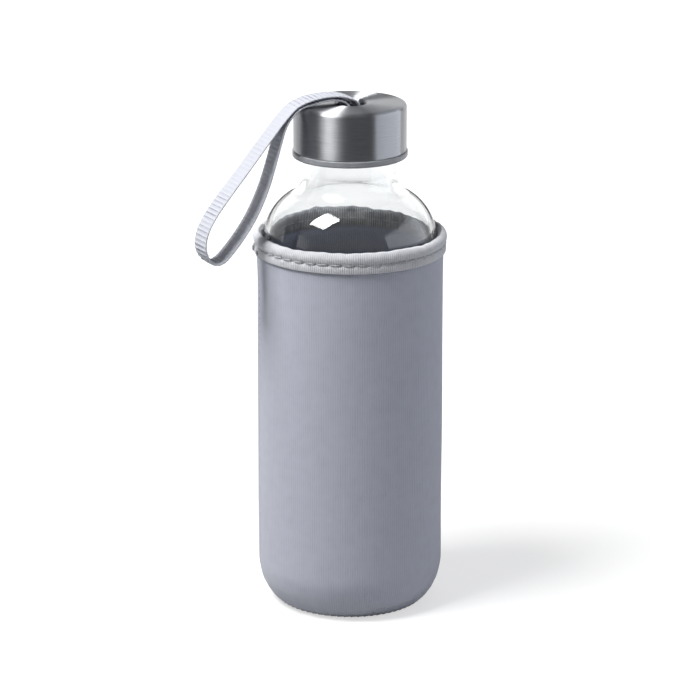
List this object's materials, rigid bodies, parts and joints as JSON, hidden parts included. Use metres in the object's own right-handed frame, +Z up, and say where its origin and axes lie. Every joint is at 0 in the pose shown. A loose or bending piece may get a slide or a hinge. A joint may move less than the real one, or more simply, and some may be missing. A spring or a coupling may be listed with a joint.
{
  "type": "sleeved glass water bottle",
  "caption": "Clear glass water bottle with a screw-on brushed steel cap, a webbing carry loop through the cap, and a grey foam-cloth sleeve bound with tape at its mouth.",
  "frame": {"origin": "centre of the sleeve's base, on the surface the bottle stands on", "axes": "+Z up along the bottle's axis; the carry loop hangs towards -X and a little towards -Y, which is the front; +Y is the back"},
  "size_m": [0.0925, 0.0724, 0.1946],
  "materials": {
    "glass": "clear, smooth",
    "steel": "spun on top, brushed round the side",
    "bar_steel": "plain drawn pin",
    "liner_plastic": "moulded, satin",
    "seal_rubber": "soft, matte",
    "webbing": "ribbed nylon webbing",
    "foam_cloth": "fine jersey knit on foam",
    "binding_tape": "ribbed elastic tape",
    "thread": "sewing thread"
  },
  "bodies": {
    "sleeve": {"sleeve_body": "foam_cloth", "sleeve_base": "foam_cloth", "mouth_binding": "binding_tape", "binding_lap": "binding_tape", "binding_thread": "thread", "side_seam_thread": "thread", "base_seam_thread": "thread"},
    "bottle": {"glass_bottle": "glass"},
    "seal": {"seal_ring": "seal_rubber"},
    "cap": {"cap_shell": "steel", "cap_liner": "liner_plastic", "strap_bar": "bar_steel"},
    "strap": {"strap_loop": "webbing"}
  },
  "joints": [
    {"name": "bottle_lift", "type": "slide", "parent": "sleeve", "child": "bottle", "axis": [0, 0, 1], "range_m": [0, 0.16]},
    {"name": "cap_rise", "type": "slide", "parent": "bottle", "child": "seal", "axis": [0, 0, 1], "range_m": [0, 0.0171]},
    {"name": "cap_turn", "type": "hinge", "parent": "seal", "child": "cap", "pos_m": [0, 0, 0.18], "axis": [0, 0, 1], "range_deg": [0, 1530]},
    {"name": "strap_swing", "type": "hinge", "parent": "cap", "child": "strap", "pos_m": [0, 0, 0.1884], "axis": [-0.3746, 0.9272, 0], "range_deg": [0, 36]}
  ],
  "couplings": [
    {"joint": "cap_rise", "follows": "cap_turn", "m_per_rad": 0.00063662}
  ]
}
